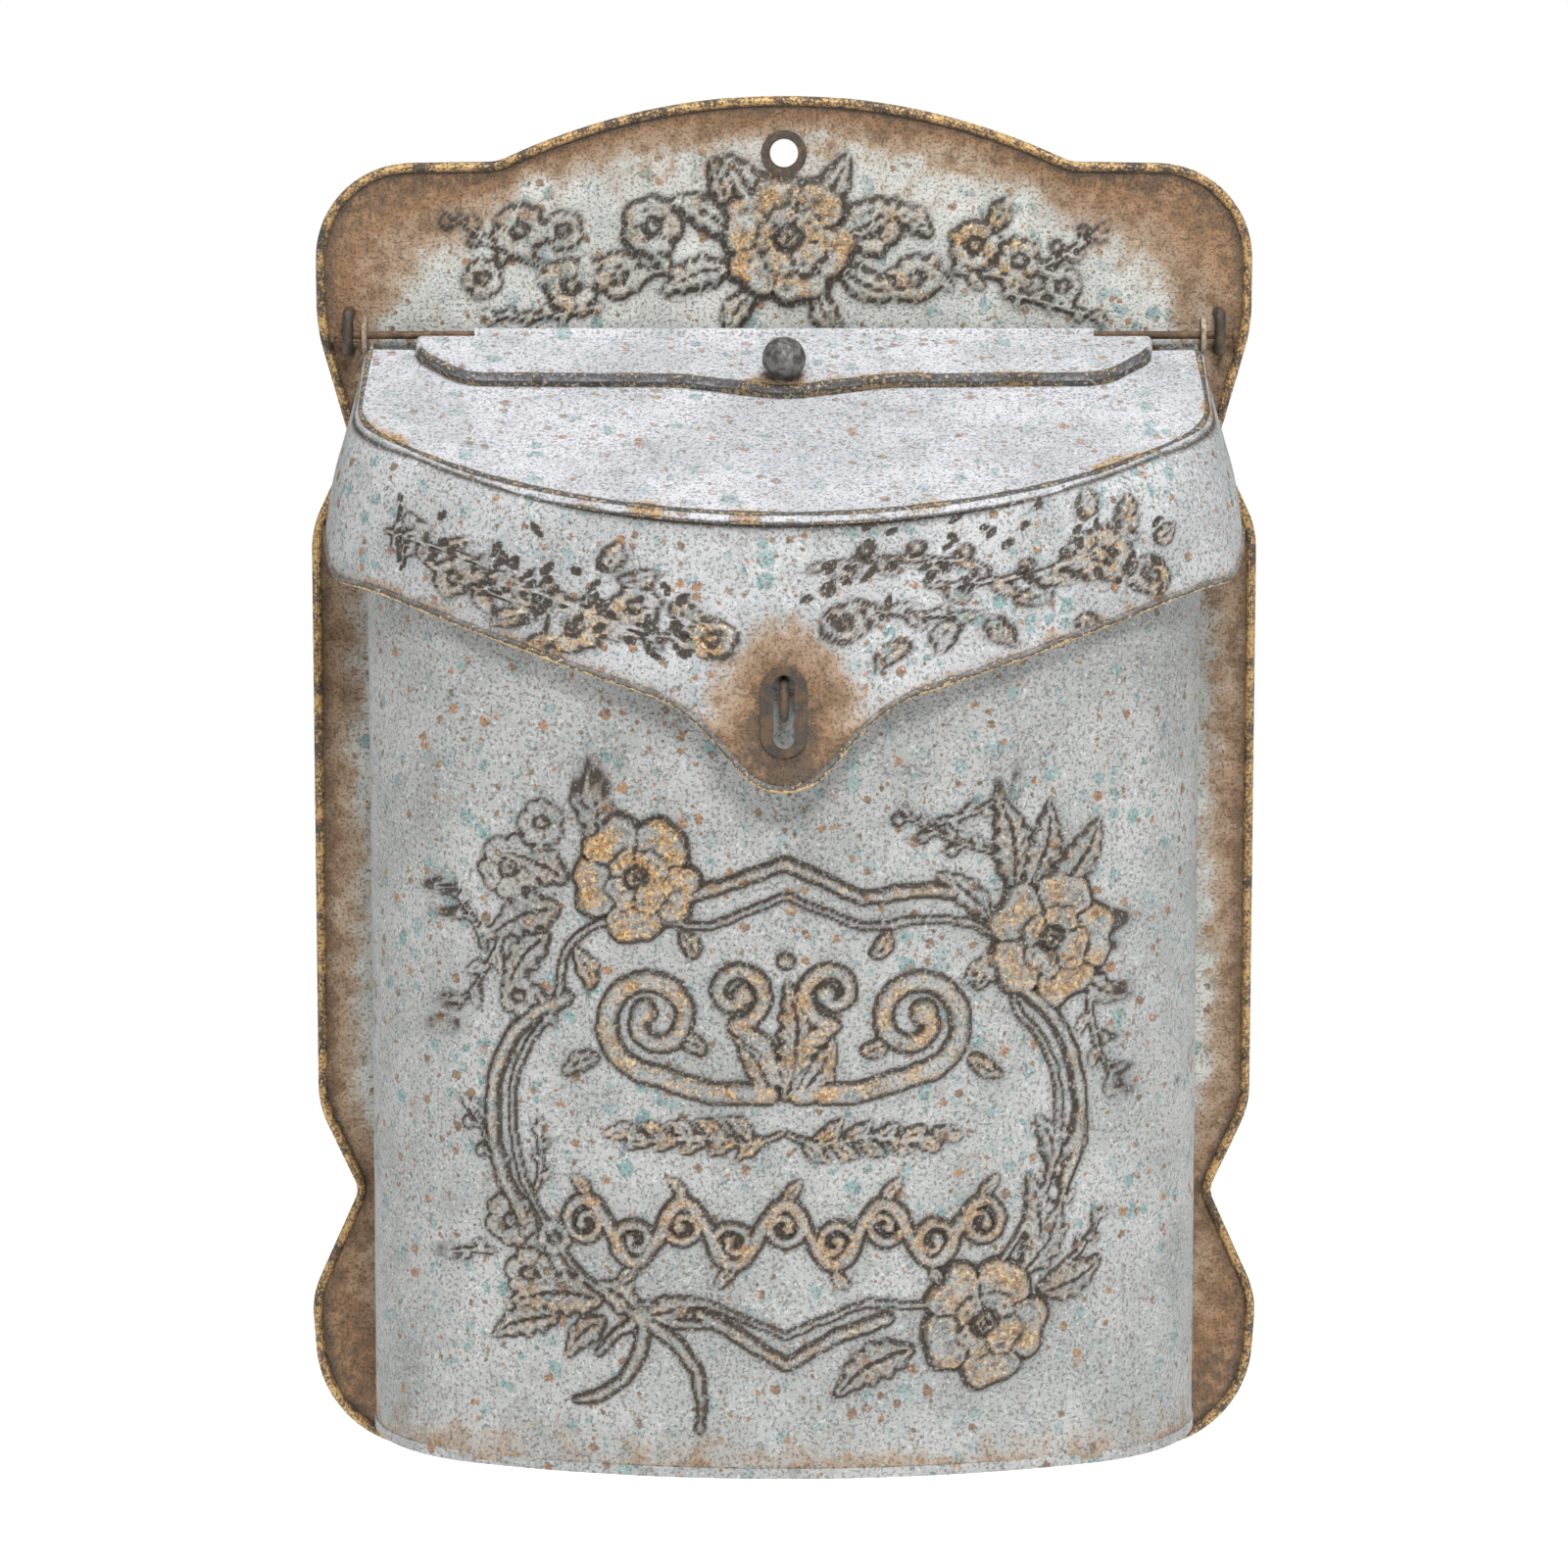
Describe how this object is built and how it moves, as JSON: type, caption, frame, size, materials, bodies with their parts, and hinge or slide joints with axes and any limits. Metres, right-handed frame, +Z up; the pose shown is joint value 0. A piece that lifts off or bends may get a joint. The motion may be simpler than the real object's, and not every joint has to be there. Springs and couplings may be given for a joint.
{
  "type": "wall mounted mailbox",
  "caption": "Wall-hung tin letter box with a scalloped back plate, bowed front, sloping hinged lid, letter flap on top and a loop hasp for a padlock.",
  "frame": {"origin": "centre of the hanging hole at the back face of the plate", "axes": "+Z up along the wall, +Y into the wall, -Y away from the wall towards the person posting a letter, +X to that person's right"},
  "size_m": [0.2632, 0.116, 0.3765],
  "materials": {
    "painted_tin": "distressed grey-white paint with green-blue speckle and rust",
    "dark_steel": "dark pitted steel",
    "rusty_wire": "rusted bare wire"
  },
  "bodies": {
    "box": {"back_plate": "painted_tin", "rim_wire": "rusty_wire", "hanging_eyelet": "dark_steel", "body_shell": "painted_tin", "bottom_pan": "painted_tin", "body_rivets": "dark_steel", "hinge_rod": "rusty_wire", "hinge_staple_left": "dark_steel", "hinge_staple_right": "dark_steel", "hasp_staple": "dark_steel", "hasp_backing": "dark_steel"},
    "lid": {"lid_skirt": "painted_tin", "lid_top": "painted_tin", "hasp_ring": "dark_steel"},
    "flap": {"letter_flap": "painted_tin", "flap_knob": "dark_steel", "knob_stud": "dark_steel"}
  },
  "joints": [
    {"name": "lid_hinge", "type": "hinge", "parent": "box", "child": "lid", "pos_m": [0, -0.0065, -0.049], "axis": [-1, 0, 0], "range_deg": [0, 62]},
    {"name": "flap_hinge", "type": "hinge", "parent": "lid", "child": "flap", "pos_m": [0, -0.0065, -0.049], "axis": [-1, 0, 0], "range_deg": [0, 28]}
  ]
}
